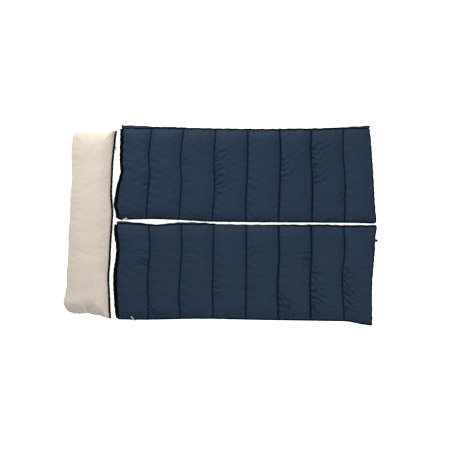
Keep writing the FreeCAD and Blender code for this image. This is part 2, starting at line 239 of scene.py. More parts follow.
RIGHT = Plan(
    corners=[
        box_corner("right_top_shell", 0, 0, 8, 42.1), box_corner("right_top_shell", 1, 0, -32, -4.5),
        box_corner("right_top_shell", 1, 1, 7, -21), box_corner("right_top_shell", 0, 1, 5, 0),
    ],
    near=[
        (0, 0), (0.07, -2.4), (0.12, -5), (0.2, -11), (0.28, -18), (0.38, -23), (0.45, -23), (0.6, -24),
        (0.75, -27), (0.86, -28.5), (0.89, -28.5), (0.91, -26), (0.94, -16), (1, 0),
    ],
    far=[
        (0, 0), (0.05, -1), (0.09, -5), (0.123, -10), (0.15, -12), (0.175, -10), (0.22, -2), (0.3, 0),
        (0.5, 0), (0.63, -1), (0.72, -2), (0.8, 0), (0.86, -3), (0.93, -2), (1, 0),
    ],
    start=[
        (0, 0), (0.04, -4), (0.1, 2), (0.225, 8), (0.35, 13), (0.537, 7), (0.6, -1), (0.76, -9),
        (0.85, 0), (0.95, 5), (1, 0),
    ],
    end=[(0, 0), (0.1, -5), (0.46, -17), (0.64, -13), (0.76, -10), (0.88, -12), (0.94, -7), (1, 0)],
    radii=[26, 16, 20, 22],
    near_lines=quilting(0.1242, 0.1275),
    far_lines=quilting(0.1246, 0.1244),
    line_bows=[
        [(0, 0), (0.22, -1), (0.36, -5), (0.52, -1), (0.74, 12), (1, 0)],
        [(0, 0), (0.2, -15), (0.52, -4), (0.74, 5), (1, 0)],
        [(0, -3), (0.25, -7), (0.6, -4), (1, 0)],
        [(0, -3), (0.3, -1), (0.7, 1), (1, 0)],
        [(0, -2), (0.38, -8), (0.6, 1), (1, 0)],
        [(0, -4), (0.38, -9), (0.7, 1), (1, 0)],
        [(0, 3), (0.35, -11), (0.47, -13), (0.74, 5), (1, 0)],
    ],
)
# The pillow's near side is the one with the zip; its u runs along +Y.
PILLOW = Plan(
    corners=[
        box_corner("pillow_face", 1, 0, -31, -7), box_corner("pillow_face", 1, 1, 14, 6),
        box_corner("pillow_face", 0, 1, 72, -4), box_corner("pillow_face", 0, 0, -6, 34),
    ],
    near=[
        (0, 0), (0.061, -9.3), (0.1, -12), (0.24, -25), (0.295, -20), (0.36, -19), (0.47, -15),
        (0.56, -11), (0.66, -24), (0.75, -23), (0.85, -20), (0.91, -13), (0.97, -6), (1, 0),
    ],
    far=[
        (0, 0), (0.07, 2), (0.1, -5), (0.14, -13), (0.23, -9), (0.3, -13), (0.43, -7), (0.56, -8),
        (0.63, -4), (0.73, -8), (0.92, 8), (1, 0),
    ],
    start=[(0, 0), (0.08, -7), (0.24, -18), (0.42, -21), (0.457, -26), (0.5, -21), (0.84, -7), (1, 0)],
    end=[(0, 0), (0.04, 4), (0.23, -2), (0.6, 0), (1, 0)],
    radii=[20, 12, 36, 100],
    near_lines=quilting(0.125, 0.125),
    far_lines=quilting(0.125, 0.125),
    line_bows=[[(0, 0), (1, 0)]] * (CHANNELS - 1),
)


# ---------------------------------------------------------------- cloth simulation

CLOTH_FRAMES = 20


def grid_faces(nu, nv, start=0, flip=False):
    """Quads between the points of a grid whose first point is number `start`."""
    i, j = np.meshgrid(np.arange(nu - 1), np.arange(nv - 1), indexing="ij")
    a = (start + i * nv + j).ravel()
    quads = np.stack([a, a + nv, a + nv + 1, a + 1], axis=1)
    return quads[:, ::-1] if flip else quads


def make_object(name, verts, faces):
    mesh = bpy.data.meshes.new(name)
    mesh.from_pydata(np.asarray(verts).tolist(), [], [list(map(int, f)) for f in faces])
    mesh.update()
    obj = bpy.data.objects.new(name, mesh)
    bpy.context.scene.collection.objects.link(obj)
    return obj


def inflate(points, pinned, pressure, slack, cap):
    """Blow up a sheet of cloth that is held where `pinned` is set. points are millimetres, slack is
    the share by which the cloth is larger than its plan, and no point moves further than cap."""
    nu, nv = points.shape[:2]
    sheet = make_object("cloth_in_work", points.reshape(-1, 3) * MM, grid_faces(nu, nv))
    group = sheet.vertex_groups.new(name="held")
    group.add(np.flatnonzero(pinned.ravel()).tolist(), 1.0, "REPLACE")
    cloth = sheet.modifiers.new("Cloth", "CLOTH")
    settings = cloth.settings
    settings.quality = 6
    settings.mass = 0.02
    settings.tension_stiffness = 12
    settings.compression_stiffness = 12
    settings.shear_stiffness = 4
    settings.bending_stiffness = 0.05
    settings.vertex_group_mass = "held"
    settings.use_pressure = True
    settings.uniform_pressure_force = pressure
    settings.shrink_min = -slack
    settings.effector_weights.gravity = 0
    cloth.collision_settings.use_self_collision = False
    cloth.point_cache.frame_start = 1
    cloth.point_cache.frame_end = CLOTH_FRAMES
    scene = bpy.context.scene
    for step in range(1, CLOTH_FRAMES + 1):
        scene.frame_set(step)
    shaped = sheet.evaluated_get(bpy.context.evaluated_depsgraph_get()).data
    found = np.empty(len(shaped.vertices) * 3)
    shaped.vertices.foreach_get("co", found)
    moved = found.reshape(nu, nv, 3) / MM - points
    length = np.linalg.norm(moved, axis=-1, keepdims=True)
    moved *= cap * np.tanh(length / cap) / np.maximum(length, 1e-9)
    bpy.data.objects.remove(sheet)
    scene.frame_set(1)
    return points + moved


# ---------------------------------------------------------------- meshes

def place(name, verts, faces, materials, slots=None, rounded=True):
    """A mesh object from millimetres, with its materials, and a slot for each face if it has several."""
    obj = make_object(name, np.asarray(verts).reshape(-1, 3) * MM, faces)
    for material in materials:
        obj.data.materials.append(material)
    count = len(obj.data.polygons)
    if slots is not None:
        obj.data.polygons.foreach_set("material_index", slots)
    obj.data.polygons.foreach_set("use_smooth", np.full(count, rounded))
    obj.data.update()
    return obj


def mark(obj, name, values):
    """A number for each point of the mesh, which its material reads."""
    attribute = obj.data.attributes.new(name, "FLOAT", "POINT")
    attribute.data.foreach_set("value", np.ravel(values).astype(np.float32))


def grid_normals(grid):
    """Unit normals at the points of a grid, upwards for one that lies flat."""
    n = np.cross(np.gradient(grid, axis=0), np.gradient(grid, axis=1))
    return n / np.maximum(np.linalg.norm(n, axis=-1, keepdims=True), 1e-6)


def rim_indices(nu, nv):
    """The points round a grid, anticlockwise from above."""
    near = [i * nv for i in range(nu)]
    end = [(nu - 1) * nv + j for j in range(1, nv)]
    far = [i * nv + nv - 1 for i in range(nu - 2, -1, -1)]
    start = [j for j in range(nv - 2, 0, -1)]
    return np.array(near + end + far + start)


def shut(outer, inner, side):
    """Verts and faces of a closed layer between two grids. side is 1 if outer is above, -1 if below."""
    nu, nv = outer.shape[:2]
    count = nu * nv
    rim = rim_indices(nu, nv)
    following = np.roll(rim, -1)
    walls = np.stack([rim + count, following + count, following, rim], axis=1)
    if side < 0:
        walls = walls[:, ::-1]
    faces = np.concatenate([
        grid_faces(nu, nv, 0, flip=side < 0), grid_faces(nu, nv, count, flip=side > 0), walls,
    ])
    return np.concatenate([outer.reshape(-1, 3), inner.reshape(-1, 3)]), faces


def band(grid, mask, up, down, side):
    """Verts and faces of a closed strip of cloth over the cells of a grid where mask is set."""
    nu, nv = grid.shape[:2]
    lift = grid_normals(grid) * side
    count = nu * nv
    verts = np.concatenate([(grid + lift * up).reshape(-1, 3), (grid - lift * down).reshape(-1, 3)])
    i, j = np.nonzero(mask)
    a = i * nv + j
    top = np.stack([a, a + nv, a + nv + 1, a + 1], axis=1)
    edges = np.concatenate([top[:, [k, (k + 1) % 4]] for k in range(4)])
    known = set(map(tuple, edges.tolist()))
    rim = np.array([e for e in edges.tolist() if (e[1], e[0]) not in known])
    walls = np.stack([rim[:, 0] + count, rim[:, 1] + count, rim[:, 1], rim[:, 0]], axis=1)
    faces = np.concatenate([top, top[:, ::-1] + count, walls])
    if side < 0:
        faces = faces[:, ::-1]
    used, faces = np.unique(faces, return_inverse=True)
    return verts[used], faces.reshape(-1, 4)


def sweep(path, outward, section):
    """Verts and faces of a closed strip. The section's (out, up) points go round it along the path."""
    section = np.broadcast_to(section, (len(path),) + section.shape[-2:])
    n, m = section.shape[:2]
    verts = np.concatenate([
        path[:, None, :2] + outward[:, None] * section[..., :1], path[:, None, 2:] + section[..., 1:],
    ], axis=-1)
    i, j = np.meshgrid(np.arange(n - 1), np.arange(m), indexing="ij")
    i, j = i.ravel(), j.ravel()
    following = (j + 1) % m
    sides = np.stack([i * m + j, (i + 1) * m + j, (i + 1) * m + following, i * m + following], axis=1)
    caps = [list(range(m - 1, -1, -1)), list(range((n - 1) * m, n * m))]
    return verts.reshape(-1, 3), sides.tolist() + caps


def walk(path, outward, pitch, start=0.0, stop=None):
    """Points, directions and outward vectors every `pitch` along a path."""
    steps = np.linalg.norm(np.diff(path, axis=0), axis=1)
    length = np.concatenate([[0], np.cumsum(steps)])
    stop = length[-1] if stop is None else stop
    at = np.arange(start + pitch / 2, stop, pitch)
    point = np.stack([np.interp(at, length, path[:, k]) for k in range(3)], axis=1)
    ahead = np.stack([np.interp(at + 0.5, length, path[:, k]) for k in range(3)], axis=1)
    behind = np.stack([np.interp(at - 0.5, length, path[:, k]) for k in range(3)], axis=1)
    along = ahead - behind
    along /= np.linalg.norm(along, axis=1, keepdims=True)
    out = np.stack([np.interp(at, length, outward[:, k]) for k in range(2)], axis=1)
    out /= np.linalg.norm(out, axis=1, keepdims=True)
    return point, along, np.concatenate([out, np.zeros((len(out), 1))], axis=1)


def beads(points, along, out, size, centre=(0, 0)):
    """Small eight-sided rounded bars, one at each point: size is (length, width out, height)."""
    up = np.cross(along, out)
    up *= np.sign(up[:, 2:])
    ring = [(1, 0.45), (0.45, 1), (-0.45, 1), (-1, 0.45), (-1, -0.45), (-0.45, -1), (0.45, -1), (1, -0.45)]
    verts, faces = [], []
    middle = points + out * centre[0] + up * centre[1]
    handed = np.sign(np.einsum("ij,ij->i", np.cross(along, out), up)).mean()
    for place_along, shrink in ((-0.5, 0.55), (-0.3, 1), (0.3, 1), (0.5, 0.55)):
        for a, b in ring:
            verts.append(
                middle + along * size[0] * place_along
                + out * (a * size[1] / 2 * shrink) + up * (b * size[2] / 2 * shrink)
            )
    verts = np.stack(verts, axis=1)
    for level in range(3):
        for k in range(8):
            n = (k + 1) % 8
            faces.append([level * 8 + k, level * 8 + n, level * 8 + 8 + n, level * 8 + 8 + k])
    ends = [[7, 6, 5, 4], [7, 4, 3, 0], [0, 3, 2, 1]]
    faces += ends + [[24 + k for k in reversed(e)] for e in ends]
    faces = np.array(faces)
    if handed < 0:
        faces = faces[:, ::-1]
    count = len(points)
    all_faces = (faces[None] + 32 * np.arange(count)[:, None, None]).reshape(-1, 4)
    return verts.reshape(-1, 3), all_faces


def joined(shapes):
    """Several (verts, faces) as one."""
    verts, faces, start = [], [], 0
    for v, f in shapes:
        v = np.asarray(v).reshape(-1, 3)
        verts.append(v)
        faces += [[int(k) + start for k in face] for face in f]
        start += len(v)
    return np.concatenate(verts), faces


def outward_of(path):
    """Plan vectors to the right of a path: outwards for one that goes round anticlockwise."""
    along = np.gradient(path[:, :2], axis=0)
    along /= np.maximum(np.linalg.norm(along, axis=1, keepdims=True), 1e-9)
    return np.stack([along[:, 1], -along[:, 0]], axis=1)


# ---------------------------------------------------------------- materials

def node(tree, kind, inputs=(), **settings):
    """A new shader node. Each input is a value, or another node's socket to link from."""
    made = tree.nodes.new(kind)
    for key, value in settings.items():
        setattr(made, key, value)
    for key, value in dict(inputs).items():
        if isinstance(value, bpy.types.NodeSocket):
            tree.links.new(value, made.inputs[key])
        else:
            made.inputs[key].default_value = value
    return made


def linear(colour):
    """Scene-linear colour of an sRGB colour given as 0 to 255."""
    parts = [c / 255 for c in colour]
    return [c / 12.92 if c <= 0.04045 else ((c + 0.055) / 1.055) ** 2.4 for c in parts] + [1]


def finish_material(name, fixed):
    """A new material with its constant values set, its tree, its shader and its object coordinates."""
    material = bpy.data.materials.new(name)
    material.use_nodes = True
    tree = material.node_tree
    shader = tree.nodes["Principled BSDF"]
    for key, value in fixed.items():
        shader.inputs[key].default_value = value
    place_in = node(tree, "ShaderNodeTexCoord").outputs["Object"]
    return material, tree, shader, place_in


def noise(tree, at, scale, detail=3, rough=0.55):
    return node(
        tree, "ShaderNodeTexNoise", {"Vector": at, "Scale": scale, "Detail": detail, "Roughness": rough}
    ).outputs["Fac"]


def ranged(tree, value, low, high, start=0.3, end=0.7):
    return node(tree, "ShaderNodeMapRange", {
        "Value": value, "From Min": start, "From Max": end, "To Min": low, "To Max": high,
    }).outputs["Result"]


def mix_colours(tree, factor, a, b):
    made = tree.nodes.new("ShaderNodeMix")
    made.data_type = "RGBA"
    factor_in, colour_a, colour_b = (made.inputs[k] for k in (0, 6, 7))
    for socket, value in ((factor_in, factor), (colour_a, a), (colour_b, b)):
        if isinstance(value, bpy.types.NodeSocket):
            tree.links.new(value, socket)
        else:
            socket.default_value = value
    return made.outputs[2]


def maths(tree, kind, a, b):
    made = node(tree, "ShaderNodeMath", operation=kind)
    for k, value in enumerate((a, b)):
        if isinstance(value, bpy.types.NodeSocket):
            tree.links.new(value, made.inputs[k])
        else:
            made.inputs[k].default_value = value
    return made.outputs[0]


def threads(tree, at, pitch):
    """A plain weave: crossed waves whose threads are `pitch` metres apart."""
    waves = [
        node(tree, "ShaderNodeTexWave", {
            "Vector": at, "Scale": 0.314 / pitch, "Distortion": 0.6, "Detail": 1.0, "Detail Scale": 2.0,
        }, bands_direction=direction).outputs["Fac"]
        for direction in ("X", "Y")
    ]
    return maths(tree, "MULTIPLY", waves[0], waves[1])


def cloth(
    name, colour, pitch, rough=0.75, sheen=0.3, shade=0.12, worn=0.1, depth=0.00012, gloss=0.12,
    seams=None,
):
    """Woven cloth with threads `pitch` metres apart. seams is how much of its red, green and blue is
    left where painted shade falls: along the mesh's 'seam' mark the colour is darkened and the gloss dulled."""
    material, tree, shader, at = finish_material(name, {
        "Sheen Weight": sheen, "Sheen Roughness": 0.45, "IOR": 1.46, "Specular IOR Level": gloss,
    })
    base = linear(colour)
    dark = [c * (1 - shade) for c in base[:3]] + [1]
    light = [c * (1 + shade) for c in base[:3]] + [1]
    tone = mix_colours(tree, ranged(tree, noise(tree, at, 7, 4), 0, 1), dark, light)
    fine = mix_colours(tree, ranged(tree, noise(tree, at, 240, 2), 0, worn), tone, light)
    weave = threads(tree, at, pitch)
    woven = mix_colours(tree, ranged(tree, weave, 0.0, 0.22, 0, 1), fine, light)
    # Painted shade: along the 'seam' mark the colour goes towards the seams share of the base and the
    # specular gloss is dulled, standing in for the shade in seam valleys and folds.
    if seams:
        painted_seam_shade = node(tree, "ShaderNodeAttribute", attribute_name="seam").outputs["Fac"]
        woven = mix_colours(tree, painted_seam_shade, woven, [c * left for c, left in zip(base, seams)] + [1])
        dulled = maths(tree, "MULTIPLY", maths(tree, "SUBTRACT", 1.0, painted_seam_shade), gloss)
        tree.links.new(dulled, shader.inputs["Specular IOR Level"])
    tree.links.new(woven, shader.inputs["Base Color"])
    rough_at = ranged(tree, noise(tree, at, 60, 3), rough - 0.08, rough + 0.1)
    tree.links.new(rough_at, shader.inputs["Roughness"])
    relief = maths(tree, "ADD", weave, maths(tree, "MULTIPLY", noise(tree, at, 420, 2), 0.7))
    bumped = node(tree, "ShaderNodeBump", {"Strength": 0.5, "Distance": depth, "Height": relief})
    tree.links.new(bumped.outputs["Normal"], shader.inputs["Normal"])
    return material


def solid(name, colour, rough, metal=0.0, ribs=0.0, coat=0.0):
    """Moulded plastic or painted metal, with ribs that many metres apart if it has them."""
    material, tree, shader, at = finish_material(name, {
        "Metallic": metal, "Coat Weight": coat, "Coat Roughness": 0.25, "IOR": 1.49,
        "Specular IOR Level": 0.45,
    })
    base = linear(colour)
    worn = [min(1, c * 1.25 + 0.01) for c in base[:3]] + [1]
    marks = ranged(tree, noise(tree, at, 900, 4), 0, 0.6, 0.45, 0.75)
    tree.links.new(mix_colours(tree, marks, base, worn), shader.inputs["Base Color"])
    rough_at = ranged(tree, noise(tree, at, 1500, 3), rough - 0.08, rough + 0.1)
    tree.links.new(rough_at, shader.inputs["Roughness"])
    height = noise(tree, at, 2600, 2)
    if ribs:
        bars = node(
            tree, "ShaderNodeTexWave", {"Vector": at, "Scale": 0.314 / ribs}, bands_direction="DIAGONAL"
        )
        height = maths(tree, "ADD", maths(tree, "MULTIPLY", bars.outputs["Fac"], 6.0), height)
    bumped = node(tree, "ShaderNodeBump", {"Strength": 0.5, "Distance": 0.0001, "Height": height})
    tree.links.new(bumped.outputs["Normal"], shader.inputs["Normal"])
    return material


# The shell's seams values are the share of navy left in its painted seam shade, bluer than the base.
SHELL = cloth(
    "quilt_shell", (24, 39, 55), 0.0011, rough=0.72, sheen=0.03, shade=0.08, seams=(0, 0.24, 0.34)
)
LINING = cloth("quilt_lining", (176, 164, 148), 0.0011, rough=0.8, sheen=0.2, shade=0.05)
# The cover's seams values are the share of beige left in the painted shade along its edge seam.
COVER = cloth(
    "pillow_cover", (174, 164, 153), 0.0012, rough=0.85, sheen=0.05, shade=0.035, seams=(0.1, 0.1, 0.1)
)
BINDING = cloth("edge_binding", (3, 4, 6), 0.0009, rough=0.85, sheen=0.0, shade=0.15, gloss=0.03)
TAPE = cloth("zip_tape", (4, 4, 5), 0.0008, rough=0.85, sheen=0.0, shade=0.12, gloss=0.03)
WEBBING = cloth("loop_webbing", (12, 15, 20), 0.0016, rough=0.7, sheen=0.02, shade=0.15, depth=0.0003)
THREAD = cloth("quilting_thread", (2, 8, 15), 0.0005, rough=0.8, sheen=0.0, shade=0.2, gloss=0.02)
TEETH = solid("zip_teeth", (16, 17, 19), 0.42, coat=0.2)
DARK_METAL = solid("zip_metal", (34, 36, 40), 0.34, metal=0.85)
GREY_PULL = solid("puller_light", (150, 152, 154), 0.5, ribs=0.002)
BLACK_PULL = solid("puller_dark", (16, 16, 18), 0.5, ribs=0.002)


# ---------------------------------------------------------------- the two quilted bags

def side_height(inward, gap):
    """Height of a quilt over the zip line, from the distances to its edge and to the nearest seam."""
    seam = (SEAM_TOP - WALL_TOP) / (CROWN - WALL_TOP)
    puff = seam + (1 - seam) * rise(gap, 84)
    return WALL_TOP + (CROWN - WALL_TOP) * rise(inward, RISE_REACH) * puff


def distance_inside(plan):
    """Distance of each grid point from the grid's own edge."""
    nu, nv = plan.shape[:2]
    rim = plan.reshape(-1, 2)[rim_indices(nu, nv)]
    tail = np.roll(rim, -1, axis=0) - rim
    reach = np.maximum((tail ** 2).sum(1), 1e-9)
    out = np.empty((nu, nv))
    for i in range(nu):
        offset = plan[i][:, None] - rim
        t = np.clip((offset * tail).sum(-1) / reach, 0, 1)
        out[i] = np.sqrt(((offset - t[..., None] * tail) ** 2).sum(-1)).min(1)
    return out


def nearest_seam(u):
    return np.clip(np.round(u), 1, CHANNELS - 1)


def seam_gap(u, v):
    """Distance of each grid point from its nearest quilting seam, along the quilt."""
    return np.abs(u - nearest_seam(u))[:, None] * PITCH * np.ones(len(v))


def pleat(phase):
    """Height across small folds: rounded tops with narrow valleys, one to each pi of phase."""
    return 2 * np.abs(np.sin(phase)) - 1.2


def puckers(u, v, table, seed):
    """Relief of the gathers along the seams, and of the longer folds that the table lists as
    (seam, side of it, where it starts, where it ends, slope, height)."""
    uu, vv = np.meshgrid(u, v, indexing="ij")
    along, across = vv * PANEL_WIDTH, uu * PITCH
    wander = swell(seed, 90)(across, along)
    nearest = nearest_seam(uu)
    off = np.abs(uu - nearest) * PITCH

    # Short gathers all along each seam
    strength = 0.65 + 0.35 * swell(seed + 1, 130)(across, along)
    phase = math.pi * along / 23 + 1.3 * wander + 0.95 * nearest + np.sign(uu - nearest) * 0.4
    out = 0.8 * strength * pleat(phase) * np.exp(-off / 15) * np.minimum(1, off / 3)

    # Longer ones that lean, in patches
    patch = np.clip(swell(seed + 3, 210)(across, along), 0, 1)
    lean = along + 0.45 * swell(seed + 4, 300)(across, along) * off
    wave = pleat(math.pi * lean / 38 + 1.2 * wander + nearest)
    out += 1.5 * patch * wave * np.exp(-off / 38) * (1 - np.exp(-off / 6))

    # Gathers where the quilt is sewn to its zip and fold
    inward = np.minimum(vv, 1 - vv) * PANEL_WIDTH
    edge_wave = np.sin(2 * math.pi * across / 34 + 2.4 * swell(seed + 2, 120)(across, along))
    out += 1.1 * edge_wave * np.exp(-inward / 24) * np.minimum(1, inward / 5)

    for seam, side, low, high, slope, tall in table:
        off = side * (uu - seam) * PITCH
        line = along - slope * off
        started = np.clip((line - low * PANEL_WIDTH) / 28, 0, 1)
        unfinished = np.clip((high * PANEL_WIDTH - line) / 28, 0, 1)
        inside = started * unfinished
        fade = np.clip(off, 0, None)
        shape = (1 - np.exp(-fade / 6)) * np.exp(-fade / 55)
        crease = pleat(math.pi * line / 46 + 0.8 * wander + seam)
        out += 2.5 * tall * inside * inside * (3 - 2 * inside) * shape * crease
    return out


def rim_of(shape):
    """True on the points round a grid."""
    rim = np.zeros(shape, bool)
    rim[[0, -1]] = True
    rim[:, [0, -1]] = True
    return rim


def quilt(side_name, plan, table, seed):
    """The top and base quilts of one bag, with their stitching, bindings, zip and fold."""
    share = spread(COLUMNS, 0.6)[:-1]
    u = np.concatenate([np.concatenate([k + share for k in range(CHANNELS)]), [CHANNELS]])
    v = spread(ROWS, 0.62)
    flat = plan.points(u, v)
    inward = distance_inside(flat)
    sheet = np.concatenate([flat, side_height(inward, seam_gap(u, v))[..., None]], axis=-1)
    pinned = rim_of(inward.shape)
    pinned[::COLUMNS] = True
    unevenness = swell(seed + 5, 70)(flat[..., 0], flat[..., 1]) * 1.2
    sheet[..., 2] += np.where(pinned, 0, unevenness * rise(inward, 60))
    fine = refine(inflate(sheet, pinned, pressure=3.0, slack=0.009, cap=7))

    u = refine(u[:, None, None])[:, 0, 0]
    v = refine(v[None, :, None])[0, :, 0]
    inward = distance_inside(fine[..., :2])
    gap = seam_gap(u, v)
    folds = puckers(u, v, table, seed) * rise(inward, 30)
    fine = fine + grid_normals(fine) * folds[..., None]
    fine[..., 2] = np.maximum(fine[..., 2], WALL_TOP * np.minimum(1, 0.9 + inward))
    # Painted shade: the shell darkens along each quilting seam's valley and in the valleys of the folds; the
    # material reads it as the 'seam' mark.
    seam_width = np.interp(u, np.arange(1, CHANNELS), SEAM_WIDTHS)[:, None]
    dark = np.maximum(np.exp(-(gap / seam_width) ** 2), 0.42 * np.clip(-folds / 2.3, 0, 1))
    lining = LINING_LIFT + 4.5 * (1 - rise(gap, 45)) * rise(inward, 40)
    lining[rim_of(lining.shape)] = LINING_LIFT
    for layer, side in ((side_name + "_top", 1), (side_name + "_base", -1)):
        outer = fine.copy()
        outer[..., 2] = np.maximum(ZIP_Z + side * fine[..., 2], FLOOR_GAP)
        inner = np.concatenate([fine[..., :2], (ZIP_Z + side * lining)[..., None]], axis=-1)
        quilt_body(layer, outer, inner, side, dark)
        stitches(layer, outer, side)
        binding(layer, outer, side)
        side_zip(layer, outer, side)
    fold_cover(side_name, fine)
    head_zip(side_name, fine)


def quilt_body(layer, outer, inner, side, dark):
    """Shell, filling and lining of one quilt in one piece: the lining is its inner face."""
    verts, faces = shut(outer, inner, side)
    cells = (outer.shape[0] - 1) * (outer.shape[1] - 1)
    slots = np.zeros(len(faces), int)
    slots[cells:2 * cells] = 1
    body = place(layer + "_quilt", verts, faces, [SHELL, LINING], slots)
    # Painted shade of the seam valleys and fold valleys on the shell, none on the lining.
    mark(body, "seam", np.concatenate([dark.ravel(), dark.ravel() * 0]))
    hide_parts(layer + "_shell", layer + "_filling", layer + "_lining")
    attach(body, layer)


def binding(layer, outer, side):
    """The edging sewn round one quilt, a few cells of its mesh wide."""
    ring = np.zeros((outer.shape[0] - 1, outer.shape[1] - 1), bool)
    ring[:5] = ring[-3:] = True
    ring[:, :5] = ring[:, -4:] = True
    edge = place(layer + "_binding", *band(outer, ring, 0.7, 0.2, side), [BINDING])
    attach(edge, layer)


def stitches(layer, outer, side):
    """Stitched thread along each of the quilting lines."""
    runs = []
    for k in range(1, CHANNELS):
        path = outer[k * COLUMNS * REFINED].copy()
        path[:, 2] += 0.35 * side
        sideways = np.tile([1.0, 0.0], (len(path), 1))
        point, along, out = walk(path, sideways, 6.0, start=6)
        runs.append(beads(point, along, out, (4.6, 1.3, 0.9)))
    piece = place(layer + "_stitching", *joined(runs), [THREAD])
    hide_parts(layer + "_quilting_thread")
    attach(piece, layer)


def side_zip(layer, outer, side):
    """One quilt's half of the side zip: down the near side and round the foot, almost to the fold."""
    path = np.concatenate([outer[:, 0], outer[-1, 1:]])
    outward = outward_of(path)
    steps = np.linalg.norm(np.diff(path[:, :2], axis=0), axis=1)
    length = np.concatenate([[0], np.cumsum(steps)])
    stop = length[-1] - ZIP_STOP
    level = path.copy()
    level[:, 2] = ZIP_Z
    keep = length < stop
    tape_high = WALL_TOP + 0.6
    section = np.array([(0.05, 0.5), (0.9, 0.5), (0.9, tape_high), (0.05, tape_high)])
    section[:, 1] *= side
    if side < 0:
        section = section[::-1]
    tape = place(layer + "_side_tape", *sweep(level[keep], outward[keep], section), [TAPE], rounded=False)
    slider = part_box(layer.split("_")[0] + "_zip_slider")
    first = slider[0][0] / MM - level[0, 0] - 20
    point, along, out = walk(level, outward, COIL_PITCH, start=first, stop=stop)
    teeth = beads(point, along, out, (1.9, 2.2, 2.0), (2.1, 1.55 * side))
    coil = place(layer + "_side_teeth", *teeth, [TEETH])
    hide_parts(layer + "_zip_tape")
    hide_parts(layer + "_zip_coil")
    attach(tape, layer)
    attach(coil, layer)


def fold_cover(side_name, fine):
    """The shell cloth that goes round the fold, from the base quilt to the top quilt."""
    bulge = FOLD_BULGE[side_name]
    far = fine[:, -1]
    share = np.linspace(0, 1, len(far))
    level = far.copy()
    level[:, 2] = ZIP_Z
    outward = -outward_of(level)
    out = bulge(share) + 0.8 * np.sin(share * 150 + 2 * np.sin(share * 23))
    out = out * np.minimum(1, 0.3 + np.minimum(share, 1 - share) * 200)
    turns = np.linspace(-0.5, 0.5, 13) * math.pi
    level_across = np.ones((len(out), 1))
    rings = [
        np.stack([
            np.cos(turns) * (out[:, None] - inset),
            np.sin(turns) * (WALL_TOP + 0.2 - inset) * level_across,
        ], axis=-1)
        for inset in (0.0, 1.0)
    ]
    section = np.concatenate([rings[0], rings[1][:, ::-1]], axis=1)[:, ::-1]
    verts, faces = sweep(level, outward, section)
    piece = place(side_name + "_fold_cover", verts, faces, [SHELL])
    # Painted shade: the outer 8.5 mm of the fold cover, where its cloth turns down, is darkened through the
    # 'seam' mark.
    painted_fold_shade = (out[:, None] - section[..., 0]) < 8.5
    mark(piece, "seam", painted_fold_shade.ravel() * 1.0)
    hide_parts(side_name + "_fold_piping")
    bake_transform(piece)


def head_zip(side_name, fine):
    """Half of the pillow's zip along the head of the base, and the hem along the head of the top."""
    path = fine[0, 4:-4][::-1].copy()
    path[:, 2] = ZIP_Z
    outward = outward_of(path)
    low, high = -1.7, -0.9
    section = np.array([(0.05, low), (10, low), (10, high), (0.05, high)])
    tape = place(side_name + "_head_tape", *sweep(path, outward, section), [TAPE], rounded=False)
    point, along, out = walk(path, outward, 2.2)
    coil = place(
        side_name + "_head_teeth", *beads(point, along, out, (1.7, 2.2, 2.2), (11.0, -1.3)), [TEETH]
    )
    hem_section = np.array([
        (0.05, 0.8), (2.6, 0.8), (3.0, 2.0), (3.0, 5.6), (2.4, WALL_TOP), (0.05, WALL_TOP + 0.4),
    ])
    hem = place(side_name + "_hem", *sweep(path, outward, hem_section), [BINDING])
    for piece, cad, slot, body in (
        (tape, "_base_head_zip_tape", "zip_tape_black", "_base"),
        (coil, "_base_head_zip_coil", "zip_coil_black", "_base"),
        (hem, "_top_head_hem", "binding_black", "_top"),
    ):
        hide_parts(side_name + cad)
        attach(piece, side_name + body)


# How far the cloth of each fold stands out, along the fold from head to foot
FOLD_BULGE = {
    "left": smooth([
        (0, 22), (0.06, 20), (0.12, 14), (0.17, 13), (0.3, 7), (0.5, 7), (0.6, 8), (0.8, 9), (0.88, 9),
        (0.94, 14), (1, 22),
    ]),
    "right": smooth([
        (0, 6), (0.006, 12), (0.012, 15), (0.04, 15), (0.06, 12), (0.13, 9), (0.175, 6.5), (0.22, 11),
        (0.27, 13), (0.31, 12), (0.36, 6), (0.75, 7), (1, 8),
    ]),
}

quilt("left", LEFT, [
    (3, 1, 0.24, 0.77, 0.5, 3.2), (5, 1, 0.40, 0.72, 0.5, 3.2), (6, 1, 0.34, 0.83, 0.55, 3.6),
    (1, -1, 0.3, 0.5, 0.3, 1.6), (2, 1, 0.55, 0.75, 0.2, 1.8), (7, -1, 0.2, 0.4, -0.3, 1.8),
], seed=11)
quilt("right", RIGHT, [
    (5, 1, 0.10, 0.34, -0.6, 4.4), (6, 1, 0.05, 0.60, -0.5, 4.4), (7, 1, 0.10, 0.62, -0.6, 4.4),
    (1, -1, 0.55, 0.74, 0.3, 3.2), (1, 1, 0.04, 0.22, -0.9, 3.8), (6, -1, 0.55, 0.78, 0.0, 3.2),
    (3, 1, 0.2, 0.4, 0.3, 1.8), (4, 1, 0.68, 0.82, 0.1, 2.6),
], seed=29)


# ---------------------------------------------------------------- the pillow

def pillow_folds(x, y, inward):
    """Relief of the pillow's face: gathers along its seam, creases that fan out from the pinch in its
    -Y end, and those of PILLOW_CREASES."""
    gather = np.sin(2 * math.pi * (y + 0.6 * x) / 31 + 2.2 * swell(3, 110)(x, y))
    folds = 0.4 * gather * np.exp(-inward / 20) * rise(inward, 9)
    pinch = PILLOW.edge("start", np.array([PILLOW_PINCH]))[0]
    away = np.hypot(x - pinch[0], y - pinch[1])
    turn = np.arctan2(x - pinch[0], y - pinch[1])
    star = np.sin(turn * 7 + 0.5) * np.exp(-away / 85) * (1 - np.exp(-away / 16))
    folds += 3.4 * star * rise(inward, 24)
    for (ax, ay), (bx, by), wide, deep in PILLOW_CREASES:
        tx, ty = bx - ax, by - ay
        t = np.clip(((x - ax) * tx + (y - ay) * ty) / (tx * tx + ty * ty), 0, 1)
        off = np.hypot(x - ax - t * tx, y - ay - t * ty)
        folds -= deep * np.exp(-(off / wide) ** 2) * rise(inward, 30)
    return folds


